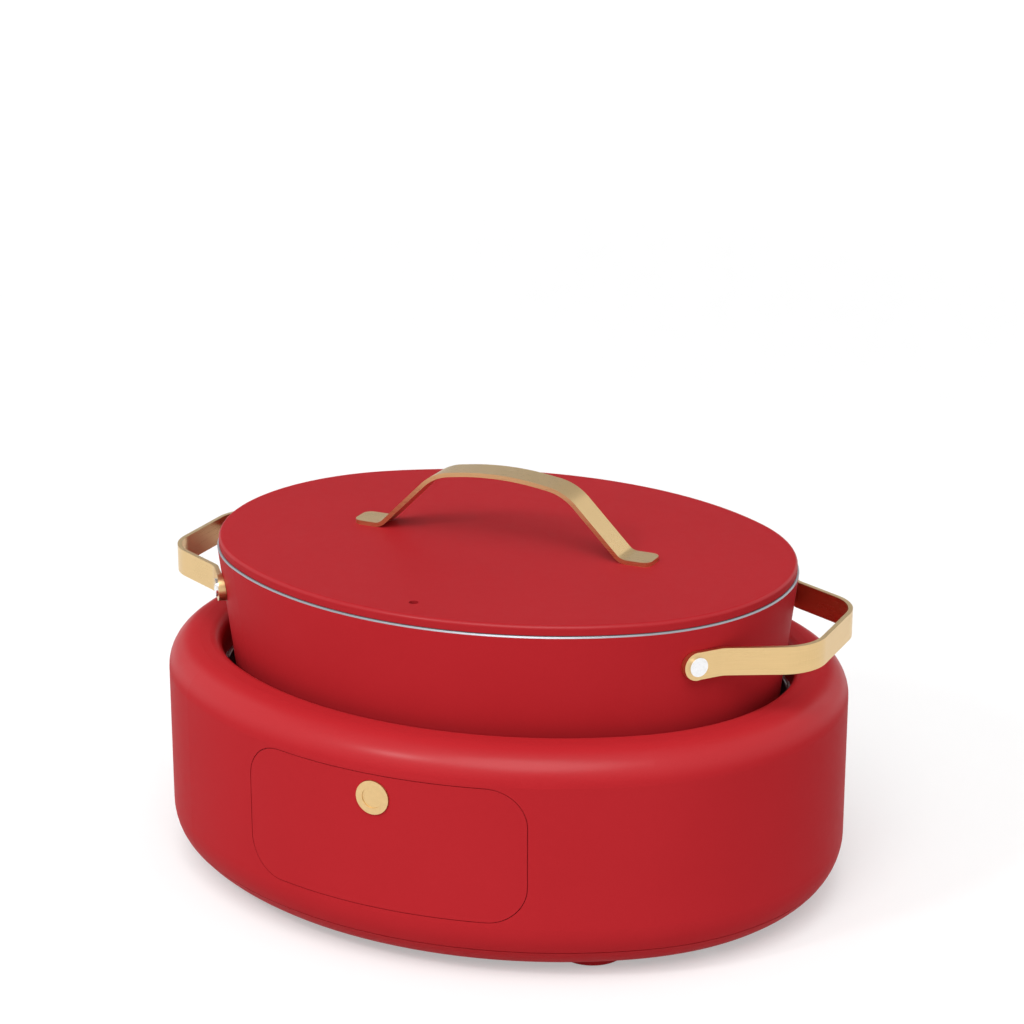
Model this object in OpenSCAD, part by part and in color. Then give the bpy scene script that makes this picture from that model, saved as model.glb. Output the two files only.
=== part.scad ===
// Oval multicooker: a heated base with a lift-out pot, a steaming rack on folding legs and a flat lid.
// The origin is on the floor under the middle of the base, +X to the right, -Y to the front, +Z up.

/* [Pot] */
// Length of the pot's rim, outside
pot_l = 320; // [305:1:335]
// Width of the pot's rim, outside
pot_w = 251; // [240:1:262]
// Height of the pot from its foot to its rim
pot_h = 126; // [118:1:140]
// How far the wall leans in from the rim to the foot
pot_lean = 15; // [10:0.5:18]
// Thickness of the pot's wall and floor
pot_wall = 3.6; // [2.8:0.1:4.4]
// Radius between the wall and the floor, outside
pot_foot_r = 16; // [12:1:20]

/* [Strap handles] */
// Thickness of the brass strap of all handles
strap_t = 2.4; // [1.8:0.1:3]
// Height of a pot handle's strap
strap_h = 14.5; // [12:0.5:18]
// How far a pot handle reaches out past the rim
handle_reach = 28; // [24:1:36]
// Distance between the two outer corners of a pot handle
handle_w = 68; // [60:1:80]
// Depth of the handle's middle below the rim
handle_drop = 20; // [16:1:26]
// Angle of each handle rivet from the pot's long axis, seen from the end's centre
rivet_angle = 38; // [34:1:42]
// Radius of a rivet's shank
rivet_r = 2.5; // [2:0.1:3]
// Length of the lid's handle over its feet
lid_handle_l = 174; // [160:1:190]
// Width of the lid handle's strap
lid_strap_w = 17; // [14:0.5:20]
// Height of the lid handle above the lid
lid_handle_h = 39; // [32:1:46]

/* [Lid] */
// How far the lid's edge stays inside the pot's rim
lid_inset = 1; // [0.5:0.1:1.5]
// Height of the lid's turned edge
lid_h = 5.5; // [4.5:0.1:8]
// Thickness of the lid's sheet
lid_t = 2.4; // [1.8:0.1:3]
// How deep the lip under the lid reaches into the pot
lip_depth = 3.5; // [3:0.5:6]
// Radius of the steam vent
vent_r = 2.5; // [1.5:0.1:3.5]
// Distance of the vent from the pot's rim
vent_inset = 19; // [15:1:26]

/* [Rack] */
// How far the rack's edge stays inside the pot's rim
rack_inset = 17.5; // [17:0.1:21]
// Height of the rack's plate above the pot's floor
rack_stand = 25; // [22:0.5:27]
// Thickness of the rack's sheet
rack_t = 1; // [0.8:0.1:1.4]
// Height of the rack's turned-up edge
rack_rim_h = 4.5; // [3:0.5:6]
// Radius of the steam holes
steam_r = 2.6; // [2:0.1:3]
// Outer radius of the pressed beads
bead_r = 2.2; // [1.8:0.1:2.6]
// Distance of the outer bead from the rack's edge
bead_inset = 25; // [23:0.5:28]
// Half length of the inner bead's oval
hub_l = 46; // [42:1:50]
// Half width of the inner bead's oval
hub_w = 37; // [34:1:40]
// Radius of the lifting hole in the middle
hub_hole_r = 10; // [8:0.5:12]
// Radius of the leg wire
wire_r = 1.1; // [0.9:0.1:1.3]
// Distance between a leg's two clips, over their outer faces
leg_span = 50; // [48:1:56]

/* [Base] */
// Height of the base from the floor to its shoulder
base_h = 124.5; // [120:0.5:130]
// How far the base's wall stands outside the pot's rim
body_reach = 28; // [26:0.5:32]
// How far the mouth's lip stays inside the pot's rim
mouth_inset = 1; // [0:0.1:2]
// Thickness of the moulded shell
shell_t = 2.8; // [2.4:0.1:3.2]
// Outer radius of the shoulder
shoulder_r = 17; // [14:0.5:18]
// Radius of the rolled lip at the mouth
lip_r = 6.5; // [5:0.5:8]
// Radius under the belly
belly_r = 28; // [22:1:30]
// Height of the seam between the shell and the bottom cover
seam_z = 17; // [14:0.5:18]
// Depth of the lip's inner skirt below the shoulder
skirt_h = 20; // [16:0.5:24]
// Height of the feet below the bottom cover
foot_h = 3; // [2:0.5:5]
// Radius of a foot
foot_r = 17; // [14:0.5:19]

/* [Heater] */
// Height of the heater plate's top, on which the pot stands
heater_z = 50; // [46:0.5:54]
// How far the heater plate's edge stays inside the pot's rim
heater_inset = 50; // [46:1:56]
// Thickness of the heater plate's face
heater_t = 5; // [4:0.5:7]
// Thickness of the liner's sheet
liner_t = 1; // [0.8:0.1:1.4]
// Radius between the liner's wall and floor
liner_r = 14; // [10:1:18]
// Radius of the heating tube
tube_r = 4; // [3:0.5:4.5]

/* [Front panel] */
// Width of the touch panel
panel_w = 156; // [140:1:166]
// Height of the panel's lower edge
panel_z = 34; // [32:0.5:40]
// Height of the touch panel
panel_h = 72; // [64:1:73]
// Corner radius of the panel
panel_r = 20; // [14:1:24]
// Thickness of the panel's lens
panel_t = 1.5; // [1.2:0.1:1.8]
// Radius of the plain brass stud on the panel
badge_r = 9; // [6:0.5:12]
// Depth of the stud below the panel's upper edge
badge_drop = 12; // [10:0.5:20]
// Width of the circuit boards
board_w = 108; // [96:1:116]
// Height of the circuit boards
board_h = 54; // [48:1:60]

/* [Clearances] */
// Groove between flush moulded pieces
groove = 0.4; // [0.3:0.05:0.6]
// Gap between pieces that are seated on each other's curved faces
seat = 0.15; // [0.1:0.05:0.3]
// Radial gap of a turning wire in its clip
running = 0.06; // [0.02:0.01:0.1]

/* [Hidden] */
$fn = 96;
BRASS = [0.77, 0.64, 0.42];
RED = [0.70, 0.14, 0.16];
STEEL = [0.72, 0.73, 0.75];

// Heights that follow from the sizes above
pot_rim_z = heater_z + pot_h;
pot_floor_z = heater_z + pot_wall;
lid_top_z = pot_rim_z + lid_h;
rack_z = pot_floor_z + rack_stand;
skirt_z = base_h - skirt_h;
liner_floor_z = heater_z - heater_t;

// An oval of four tangent arcs that meet on lines with the slope 4 to 3, from its half axes:
// [end centre x, side centre y, end radius, side radius]
function oval(a, b) =
    let (k = (a - b) / 2)
    [3 * k, 4 * k, b - k, b + 4 * k];

// Half of the angle that an end arc spans
half = atan2(4, 3);

// Point of the oval, moved outwards by d, where its outward normal has the angle t
function oval_at(o, d, t) =
    let (reach = cos(half), up = sin(t) > 0 ? 1 : -1)
    cos(t) >= reach ? [o[0] + (o[2] + d) * cos(t), (o[2] + d) * sin(t)]
    : cos(t) <= -reach ? [(o[2] + d) * cos(t) - o[0], (o[2] + d) * sin(t)]
    : [(o[3] + d) * cos(t), (o[3] + d) * sin(t) - up * o[1]];

// Angle of the normal at the share s of the oval's length, moved outwards by d, from +X
function oval_angle(o, d, s) =
    let (
        e = (o[2] + d) * half,
        f = (o[3] + d) * (90 - half),
        u = (s - floor(s)) * 4 * (e + f)
    )
    u < e ? u / (o[2] + d)
    : u < e + 2 * f ? half + (u - e) / (o[3] + d)
    : u < 3 * e + 2 * f ? 180 - half + (u - e - 2 * f) / (o[2] + d)
    : u < 3 * e + 4 * f ? 180 + half + (u - 3 * e - 2 * f) / (o[3] + d)
    : 360 - half + (u - 3 * e - 4 * f) / (o[2] + d);

// Length of the oval moved outwards by d
function oval_length(o, d) = (4 * (o[2] + d) * half + 4 * (o[3] + d) * (90 - half)) * PI / 180;

rim = oval(pot_l / 2, pot_w / 2);
hub = oval(hub_l, hub_w);
end_r = rim[2];
far = 100;
tall = base_h + pot_h + lid_handle_h;
hair = 0.0001;

// Flat wedge that holds the right end arc of an oval, a hair wider than its arc so that meshes join
module end_wedge(o) {
    polygon([[o[0], 0], [o[0] + 3 * far, -4 * far - hair], [o[0] + 3 * far, 4 * far + hair]]);
}

// Flat wedge that holds the back side arc of an oval
module side_wedge(o) {
    polygon([[0, -o[1]], [3 * far, 4 * far - o[1]], [-3 * far, 4 * far - o[1]]]);
}

// Sweeps a section round the oval: its x is the distance outside the oval and its y is the height
module oval_sweep(o) {
    for (turn = [0, 180])
        rotate(turn) {
            intersection() {
                translate([o[0], 0, 0])
                    rotate_extrude()
                        translate([o[2], 0])
                            children();
                linear_extrude(tall)
                    end_wedge(o);
            }
            intersection() {
                translate([0, -o[1], 0])
                    rotate_extrude()
                        translate([o[3], 0])
                            children();
                linear_extrude(tall)
                    side_wedge(o);
            }
        }
}

// Solid oval plate from height z, moved outwards by d
module oval_plate(o, d, z, h) {
    translate([0, 0, z])
        linear_extrude(h)
            for (turn = [0, 180])
                rotate(turn) {
                    intersection() {
                        translate([o[0], 0])
                            circle(o[2] + d);
                        end_wedge(o);
                    }
                    intersection() {
                        translate([0, -o[1]])
                            circle(o[3] + d);
                        side_wedge(o);
                    }
                }
}

// Rectangle between two corners with its own radius at each: low left, low right, high right, high left
module rounded_rect(low, high, r) {
    mids = [
        low + [r[0], r[0]],
        [high[0] - r[1], low[1] + r[1]],
        high - [r[2], r[2]],
        [low[0] + r[3], high[1] - r[3]]
    ];
    polygon([
        [mids[0][0], low[1]], [mids[1][0], low[1]], [high[0], mids[1][1]], [high[0], mids[2][1]],
        [mids[2][0], high[1]], [mids[3][0], high[1]], [low[0], mids[3][1]], [low[0], mids[0][1]]
    ]);
    for (i = [0:3])
        if (r[i] > 0)
            translate(mids[i])
                circle(r[i]);
}

// Direction from one point to the next, and the turn at an inner point of a path
function heading(a, b) = atan2(b[1] - a[1], b[0] - a[0]);
function wrapped(t) = t > 180 ? t - 360 : t < -180 ? t + 360 : t;
function bend(p, i) = wrapped(heading(p[i], p[i + 1]) - heading(p[i - 1], p[i]));
function left_of(h) = [-sin(h), cos(h)];
function ahead(h) = [cos(h), sin(h)];
function setback(p, r, i) = i > 0 && i < len(p) - 1 ? r * tan(abs(bend(p, i)) / 2) : 0;

// Places and headings along a path whose inner points are rounded by bends of n chords
function stations(p, r, n) = concat(
    [[p[0], heading(p[0], p[1])]],
    [
        for (i = [1:len(p) - 2])
            let (
                h = heading(p[i - 1], p[i]),
                turn = bend(p, i),
                side = sign(turn) * r[i],
                back = r[i] * tan(abs(turn) / 2),
                centre = p[i] - back * ahead(h) + side * left_of(h)
            )
            for (j = [0:n])
                [centre - side * left_of(h + turn * j / n), h + turn * j / n]
    ],
    [[p[len(p) - 1], heading(p[len(p) - 2], p[len(p) - 1])]]
);

// Outline of a flat strip of thickness t along a path
function strip(p, r, t) =
    let (s = stations(p, r, 16), n = len(s))
    concat(
        [for (q = s) q[0] + t / 2 * left_of(q[1])],
        [for (k = [n - 1:-1:0]) s[k][0] - t / 2 * left_of(s[k][1])]
    );

// Round wire along a flat path with bends of radius r
module wire(p, r, wire_radius) {
    for (i = [0:len(p) - 2]) {
        h = heading(p[i], p[i + 1]);
        translate(p[i] + setback(p, r, i) * ahead(h))
            rotate([90, 0, h + 90])
                linear_extrude(norm(p[i + 1] - p[i]) - setback(p, r, i) - setback(p, r, i + 1))
                    circle(wire_radius);
    }
    for (i = [1:len(p) - 2]) {
        h = heading(p[i - 1], p[i]);
        side = sign(bend(p, i));
        middle = p[i] - setback(p, r, i) * ahead(h) + side * r * left_of(h);
        reach = 10 * r * side;
        intersection() {
            translate(middle)
                rotate_extrude()
                    translate([r, 0])
                        circle(wire_radius);
            translate([0, 0, -2 * wire_radius])
                linear_extrude(4 * wire_radius)
                    polygon([middle, middle - reach * left_of(h), middle - reach * left_of(h + bend(p, i))]);
        }
    }
}

// Low round cap on the plane z = 0
module dome(r, h) {
    ball = (r * r + h * h) / (2 * h);
    rotate_extrude()
        intersection() {
            translate([0, h - ball])
                circle(ball);
            square([r, h]);
        }
}

// Copies to the four corners by mirroring the front right one
module four_corners() {
    for (mx = [0, 1], my = [0, 1])
        mirror([mx, 0, 0])
            mirror([0, my, 0])
                children();
}

// Pot

lean = atan(pot_lean / pot_h);
pot_floor_edge = -pot_lean - 2 * pot_foot_r;
rim_bevel = 0.8;

// Distance of the pot's outer wall from the rim's oval at height z
function wall_d(z) = (z - pot_rim_z) * tan(lean);

// Section of the leaning pot, filled, with the wall and the floor moved inwards
module pot_section(inset, top) {
    foot = heater_z + inset;
    r = pot_foot_r - inset;
    middle = [wall_d(foot + r) - (inset + r) / cos(lean), foot + r];
    polygon([
        [pot_floor_edge, foot],
        [middle[0], foot],
        middle + r * [cos(lean), -sin(lean)],
        [wall_d(top) - inset / cos(lean), top],
        [pot_floor_edge, top]
    ]);
    translate(middle)
        circle(r);
}

// What the bevels take off both edges of the rim
module rim_bevels() {
    inner = wall_d(pot_rim_z) - pot_wall / cos(lean);
    for (edge = [[inner, -1], [0, 1]])
        polygon([
            [edge[0] - edge[1] * 2 * rim_bevel, pot_rim_z + rim_bevel],
            [edge[0] + edge[1] * rim_bevel, pot_rim_z - 2 * rim_bevel],
            [edge[0] + edge[1] * rim_bevel, pot_rim_z + rim_bevel]
        ]);
}

handle_z = pot_rim_z - handle_drop;
strap_face = end_r + wall_d(handle_z + strap_h / 2) + 2 * seat;
eye_t = strap_t + seat;
eye_r = strap_h / 2 + seat;
pot_inner_r = end_r + wall_d(handle_z) - pot_wall / cos(lean);
rivet_fit = 0.1;
rivet_head_r = 5;
rivet_head_h = 1.2;
rivet_dome_r = 6;
rivet_dome_h = 2.8;

// Moves to a handle's rivet: x points out of the pot, at the end's centre line
module at_rivet(side) {
    translate([rim[0], 0, handle_z])
        rotate([0, 0, side * rivet_angle])
            children();
}

module pot_body() color(RED)
    difference() {
        union() {
            oval_sweep(rim)
                difference() {
                    pot_section(0, pot_rim_z);
                    pot_section(pot_wall, pot_rim_z + 1);
                    rim_bevels();
                }
            oval_plate(rim, pot_floor_edge + 1, heater_z, pot_wall);
        }
        for (mx = [0, 1], side = [-1, 1])
            mirror([mx, 0, 0])
                at_rivet(side)
                    translate([pot_inner_r - pot_wall, 0, 0])
                        rotate([0, 90, 0])
                            cylinder(r = rivet_r + rivet_fit, h = 3 * pot_wall);
    }

pad_l = 15;
leg_bend_r = 12;
corner_bend_r = 25;

// Path of the right handle's strap from its front rivet to its back rivet
function handle_path() =
    let (
        seat_r = strap_face + strap_t / 2,
        rivet = [rim[0] + seat_r * cos(rivet_angle), -seat_r * sin(rivet_angle)],
        pad_end = rivet + pad_l * [sin(rivet_angle), cos(rivet_angle)],
        corner = [pot_l / 2 + handle_reach - strap_t / 2, -handle_w / 2],
        front = [rivet, pad_end, corner]
    )
    concat(front, [for (i = [2:-1:0]) [front[i][0], -front[i][1]]]);

module strap_handle() color(BRASS)
    difference() {
        union() {
            translate([0, 0, handle_z - strap_h / 2])
                linear_extrude(strap_h)
                    polygon(strip(
                        handle_path(),
                        [0, leg_bend_r, corner_bend_r, corner_bend_r, leg_bend_r, 0],
                        strap_t
                    ));
            for (side = [-1, 1])
                at_rivet(side)
                    translate([pot_inner_r, 0, 0])
                        rotate([0, 90, 0])
                            cylinder(r = eye_r, h = strap_face + eye_t - pot_inner_r);
        }
        translate([rim[0], 0, heater_z])
            cylinder(r1 = end_r + wall_d(heater_z) + seat, r2 = end_r + seat, h = pot_h);
        for (side = [-1, 1])
            at_rivet(side)
                translate([pot_inner_r, 0, 0])
                    rotate([0, 90, 0])
                        cylinder(r = rivet_r + rivet_fit, h = 3 * pot_wall);
    }

module pot_handle_right() strap_handle();

module pot_handle_left() mirror([1, 0, 0]) strap_handle();

module pot_rivets() color(STEEL)
    for (mx = [0, 1], side = [-1, 1])
        mirror([mx, 0, 0])
            at_rivet(side) {
                translate([pot_inner_r - seat, 0, 0])
                    rotate([0, 90, 0])
                        cylinder(r = rivet_r, h = strap_face + eye_t - pot_inner_r + seat + rivet_head_h / 2);
                translate([strap_face + eye_t, 0, 0])
                    rotate([0, 90, 0])
                        cylinder(r = rivet_head_r, h = rivet_head_h);
                translate([pot_inner_r - 2 * seat, 0, 0])
                    rotate([0, lean - 90, 0])
                        dome(rivet_dome_r, rivet_dome_h);
            }

// Lid

lid_edge = -lid_inset;
lid_rim_w = 2.6;
lid_edge_r = 2;
lid_under_r = 0.8;
lid_plate_d = lid_edge - 14;
lip_gap = 1.2;
lip_t = 2;
lip_d = -pot_wall / cos(lean) - lip_depth * tan(lean) - lip_gap;
lid_foot = 16.5;
lid_screw_x = lid_handle_l / 2 - lid_foot / 2;
lid_screw_r = 2;
lid_screw_fit = 0.1;

module lid_plate() color(RED)
    difference() {
        union() {
            oval_sweep(rim) {
                rounded_rect(
                    [lid_edge - lid_rim_w - lid_edge_r, pot_rim_z],
                    [lid_edge, lid_top_z],
                    [0, lid_under_r, lid_edge_r, 0]
                );
                translate([lid_plate_d - 1, lid_top_z - lid_t])
                    square([lid_edge - lid_rim_w - lid_plate_d, lid_t]);
            }
            oval_plate(rim, lid_plate_d, lid_top_z - lid_t, lid_t);
        }
        oval_sweep(rim)
            translate([lid_edge - 2 * lid_rim_w - lid_edge_r, pot_rim_z - 1])
                square([lid_rim_w + lid_edge_r, lid_h - lid_t + 1]);
        translate([0, vent_inset - pot_w / 2, pot_rim_z])
            cylinder(r = vent_r, h = 2 * lid_h);
        for (side = [-1, 1])
            translate([side * lid_screw_x, 0, pot_rim_z])
                cylinder(r = lid_screw_r + lid_screw_fit, h = 2 * lid_h);
    }

module lid_lip() color([0.1, 0.1, 0.11])
    oval_sweep(rim)
        rounded_rect(
            [lip_d - lip_t, pot_rim_z - lip_depth],
            [lip_d, lid_top_z - lid_t],
            [0.6, 0.6, 0, 0]
        );

lid_foot_bend_r = 8;
lid_shoulder_r = 28;
lid_shoulder_x = 38;
lid_shoulder_drop = 5.6;
lid_crown_r = 160;
lid_foot_corner_r = 5;
lid_thread_cover = 0.6;

// Path of the lid handle's strap, seen from the front: two feet, sloping legs and a low crown
function lid_handle_path() =
    let (
        flat = cos(atan(lid_shoulder_drop / lid_shoulder_x)),
        top = lid_handle_h - strap_t + lid_crown_r * (1 / flat - 1),
        left = [
            [-lid_handle_l / 2, 0],
            [lid_foot - lid_handle_l / 2, 0],
            [-lid_shoulder_x, top - lid_shoulder_drop]
        ]
    )
    concat(left, [[0, top]], [for (i = [2:-1:0]) [-left[i][0], left[i][1]]]);

module lid_handle() color(BRASS)
    difference() {
        intersection() {
            translate([0, lid_strap_w / 2, lid_top_z + strap_t / 2])
                rotate([90, 0, 0])
                    linear_extrude(lid_strap_w)
                        polygon(strip(
                            lid_handle_path(),
                            [
                                0, lid_foot_bend_r, lid_shoulder_r, lid_crown_r,
                                lid_shoulder_r, lid_foot_bend_r, 0
                            ],
                            strap_t
                        ));
            translate([0, 0, pot_rim_z])
                linear_extrude(lid_h + 2 * lid_handle_h)
                    rounded_rect(
                        [-lid_handle_l / 2, -lid_strap_w / 2],
                        [lid_handle_l / 2, lid_strap_w / 2],
                        lid_foot_corner_r * [1, 1, 1, 1]
                    );
        }
        for (side = [-1, 1])
            translate([side * lid_screw_x, 0, pot_rim_z])
                cylinder(r = lid_screw_r + lid_screw_fit, h = lid_h + strap_t - lid_thread_cover);
    }

lid_screw_head_r = 4.5;
lid_screw_head_h = 2.2;

module lid_handle_screws() color(STEEL)
    for (side = [-1, 1])
        translate([side * lid_screw_x, 0, lid_top_z - lid_t]) {
            cylinder(r = lid_screw_r, h = lid_t + strap_t - lid_thread_cover);
            mirror([0, 0, 1])
                dome(lid_screw_head_r, lid_screw_head_h);
        }

// Rack

rack_d = -rack_inset;
rack_roll_r = 1.3;
bead_d = rack_d - bead_inset;
bead_mid_z = rack_z + rack_t / 2;
bead_inner_r = bead_r - rack_t;
bead_slot_r = (bead_r + bead_inner_r) / 2;
spoke_gap = 5;
spoke_count = 8;
halvings = 30;
hole_pitch = 12.5;
hole_bridge = 0.8;
hole_keep = steam_r + bead_r + hole_bridge;

// Upper half of a pressed bead's section
module bead_section() {
    intersection() {
        difference() {
            circle(bead_r);
            circle(bead_inner_r);
        }
        translate([-bead_r, -rack_t / 2])
            square([2 * bead_r, bead_r + rack_t]);
    }
}

// Half axes of an oval row of holes between the inner bead and the outer bead, by its share of the way
function row_oval(share) =
    let (
        a = hub_l + share * (pot_l / 2 + bead_d - hub_l),
        b = hub_w + share * (pot_w / 2 + bead_d - hub_w)
    )
    oval(a, b);

// Places of the holes in one row, spread evenly along it, kept off the spokes and the clips' heads
function row_holes(o, d, crossed, shift) =
    let (count = floor(oval_length(o, d) / hole_pitch / 4) * 4)
    [
        for (i = [0:count - 1])
            let (p = oval_at(o, d, oval_angle(o, d, (i + shift) / count)))
            if ((!crossed || spoke_clear(p)) && clip_clear(p))
                p
    ];

// Places of the eight leg clips in plan
function clip_spots() =
    let (
        middle = oval_at(rim, leg_d, -leg_angle),
        along = (leg_span - clip_l) / 2 * [sin(leg_angle), cos(leg_angle)]
    )
    [
        for (mx = [-1, 1], my = [-1, 1], side = [-1, 1])
            let (p = middle + side * along)
            [mx * p[0], my * p[1]]
    ];

// Whether a hole at p keeps off every clip's head
function clip_clear(p) = min([for (q = clip_spots()) norm(p - q)]) > steam_r + clip_head_r + hole_bridge;

function spoke_angle(k) = (k + 0.5) * 360 / spoke_count;

// Whether a hole at p keeps off every spoke
function spoke_clear(p) =
    min([
        for (k = [0:spoke_count - 1])
            let (t = spoke_angle(k), along = p * [cos(t), sin(t)])
            along > 0 ? abs(p * [-sin(t), cos(t)]) : norm(p)
    ]) > hole_keep;

// Distance from the middle at which a ray at angle t meets the oval moved outwards by d, by halving
function ray_reach(o, d, t, low, high, steps) =
    let (mid = (low + high) / 2, p = mid * [cos(t), sin(t)])
    steps == 0 ? mid
    : outside(o, d, p) ? ray_reach(o, d, t, low, mid, steps - 1)
    : ray_reach(o, d, t, mid, high, steps - 1);

// Whether the point p lies outside the oval moved outwards by d
function outside(o, d, p) =
    let (x = abs(p[0]), y = abs(p[1]))
    x > o[0] && atan2(y, x - o[0]) <= half ? norm([x - o[0], y]) > o[2] + d : norm([x, y + o[1]]) > o[3] + d;

// Start and length of the two stretches of a spoke, inside and outside the outer bead
function spoke(k) =
    let (
        t = spoke_angle(k),
        inner = ray_reach(hub, 0, t, 0, pot_l, halvings) + spoke_gap,
        ring = ray_reach(rim, bead_d, t, 0, pot_l, halvings),
        edge = ray_reach(rim, rack_d - rack_t, t, 0, pot_l, halvings) - spoke_gap
    )
    [[inner, ring - spoke_gap - inner], [ring + spoke_gap, edge - ring - spoke_gap]];

// Straight pressed bead along x with round ends, hollow underneath
module spoke_bead(length, r) {
    rotate([90, 0, 90])
        linear_extrude(length)
            circle(r);
    for (x = [0, length])
        translate([x, 0, 0])
            sphere(r);
}

module rack_plate() color(STEEL)
    difference() {
        union() {
            difference() {
                union() {
                    oval_plate(rim, rack_d, rack_z, rack_t);
                    oval_sweep(rim) {
                        translate([rack_d - rack_t, rack_z])
                            square([rack_t, rack_rim_h]);
                        translate([rack_d - rack_t / 2, rack_z + rack_rim_h])
                            circle(rack_roll_r);
                    }
                }
                for (o = [[rim, bead_d], [hub, 0]])
                    oval_sweep(o[0])
                        translate([o[1] - bead_slot_r, rack_z - 1])
                            square([2 * bead_slot_r, rack_t + 2]);
            }
            for (o = [[rim, bead_d], [hub, 0]])
                oval_sweep(o[0])
                    translate([o[1], bead_mid_z])
                        bead_section();
            intersection() {
                for (k = [0:spoke_count - 1], s = spoke(k))
                    rotate(spoke_angle(k))
                        translate([s[0], 0, bead_mid_z])
                            spoke_bead(s[1], bead_r);
                oval_plate(rim, rack_d - rack_t, rack_z, bead_r + rack_t);
            }
        }
        for (k = [0:spoke_count - 1], s = spoke(k))
            rotate(spoke_angle(k))
                translate([s[0], 0, bead_mid_z])
                    spoke_bead(s[1], bead_inner_r);
        translate([0, 0, rack_z - 1])
            cylinder(r = hub_hole_r, h = rack_t + 2);
        for (row = steam_rows(), p = row)
            translate([p[0], p[1], rack_z - 1])
                cylinder(r = steam_r, h = rack_t + 2);
        at_clips()
            translate([0, 0, -1])
                cylinder(r = clip_shank_r + clip_fit, h = rack_t + 2);
    }

// All rows of steam holes: inside the hub, between the beads and outside the outer bead
function steam_rows() =
    let (outer = bead_inset - bead_r)
    [
        row_holes(hub, (hub_hole_r - hub_l) / 2 + 2, false, 0),
        row_holes(hub, -bead_r - 2.2 * steam_r, false, 0.5),
        row_holes(row_oval(0.24), 0, true, 0.5),
        row_holes(row_oval(0.5), 0, true, 0),
        row_holes(row_oval(0.76), 0, true, 0.5),
        row_holes(rim, rack_d - outer * 0.34, true, 0),
        row_holes(rim, rack_d - outer * 0.72, true, 0.5)
    ];

leg_angle = 40;
leg_inset = 17;
leg_d = rack_d - leg_inset;
clip_l = 4;
clip_t = 1.2;
clip_r = wire_r + clip_t;
clip_shank_r = 1;
clip_fit = 0.1;
clip_head_r = 2.4;
clip_head_h = 1;
leg_axis_z = rack_z - clip_r;
leg_drop = leg_axis_z - pot_floor_z - wire_r - seat;
leg_end = 2;
clip_keep = 1.6;
leg_bend_in_r = 2.4;
leg_slant = 0.4 * leg_span;

// Moves to the front right leg: x runs along its two clips, towards the right end
module at_leg() {
    p = oval_at(rim, leg_d, -leg_angle);
    translate([p[0], p[1], leg_axis_z])
        rotate(90 - leg_angle)
            children();
}

// Moves to the middle of each clip, on the plate's underside
module at_clips() {
    four_corners()
        at_leg()
            for (side = [-1, 1])
                translate([side * (leg_span - clip_l) / 2, 0, clip_r])
                    children();
}

// Clips that hold the legs, each with a shank through the plate and a round head on it
module leg_clips() color(STEEL)
    at_clips() {
        difference() {
            translate([-clip_l / 2, 0, -clip_r]) {
                rotate([0, 90, 0])
                    cylinder(r = clip_r, h = clip_l);
                translate([0, -clip_t, 0])
                    cube([clip_l, 2 * clip_t, clip_r]);
            }
            translate([-clip_l, 0, -clip_r])
                rotate([0, 90, 0])
                    cylinder(r = wire_r + running, h = 2 * clip_l);
        }
        translate([0, 0, -clip_t / 2])
            cylinder(r = clip_shank_r, h = clip_t / 2 + rack_t + clip_head_h / 2);
        translate([0, 0, rack_t])
            dome(clip_head_r, clip_head_h);
    }

// Bent wire leg: its two ends turn in the clips and its lowest bend stands on the pot's floor.
// It runs down and back up in directions with the slopes 4 to 3 and 3 to 4, so that its pieces meet exactly.
module wire_leg() color(STEEL)
    at_leg() {
        end = leg_span / 2;
        knee = end - clip_l - clip_keep;
        drop = leg_drop + 2 * leg_bend_in_r;
        tip = 0.75 * drop - knee;
        rotate([90, 0, 0])
            wire(
                [
                    [-end - leg_end, 0], [-knee, 0], [tip, -drop], [tip, -0.6 * leg_slant],
                    [tip + 0.8 * leg_slant, 0], [end + leg_end, 0]
                ],
                leg_bend_in_r,
                wire_r
            );
    }

module rack_leg_front_right() wire_leg();

module rack_leg_front_left() mirror([1, 0, 0]) wire_leg();

module rack_leg_back_right() mirror([0, 1, 0]) wire_leg();

module rack_leg_back_left() mirror([1, 0, 0]) mirror([0, 1, 0]) wire_leg();

// Base

mouth_d = -mouth_inset;
cover_z = foot_h;
body_floor_edge = -20;
boss_d = (body_reach - shoulder_r + mouth_d + lip_r) / 2;
boss_r = 4;
boss_angles = [35, 145, 215, 325];
pillar_top = cover_z + 9;
pillar_h = 4.5;
screw_r = 1.5;
screw_fit = 0.1;
screw_head_r = 3.4;
screw_head_h = 2.2;
screw_sink = 6;
screw_l = 14;

// Filled section of the base's body, with all its faces moved inwards
module body_section(inset) {
    intersection() {
        rounded_rect(
            [body_floor_edge - 20, cover_z + inset],
            [body_reach - inset, base_h - inset],
            [0, belly_r - inset, shoulder_r - inset, 0]
        );
        rounded_rect(
            [mouth_d + inset, cover_z - 10],
            [body_reach + 20, base_h - inset],
            [0, 0, 0, lip_r - inset]
        );
    }
}

// Upright prism on the front with the panel's outline, grown by g
module panel_outline(g) {
    rotate([90, 0, 0])
        linear_extrude(pot_w)
            rounded_rect(
                [-panel_w / 2 - g, panel_z - g],
                [panel_w / 2 + g, panel_z + panel_h + g],
                (panel_r + g) * [1, 1, 1, 1]
            );
}

// Upright round body of the front wall, moved outwards from the rim by d
module front_round(d) {
    translate([0, rim[1], 0])
        cylinder(r = rim[3] + d, h = base_h, $fn = 360);
}

board_t = 1.6;
board_back = 14;
board_y = rim[1] - rim[3] - body_reach + shell_t + board_back;
board_z = panel_z + panel_h / 2;
post_r = 3.5;
post_inset = 7;
post_x = board_w / 2 - post_inset;
post_z = board_h / 2 - post_inset;
window_w = 84;
window_h = 30;

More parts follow.
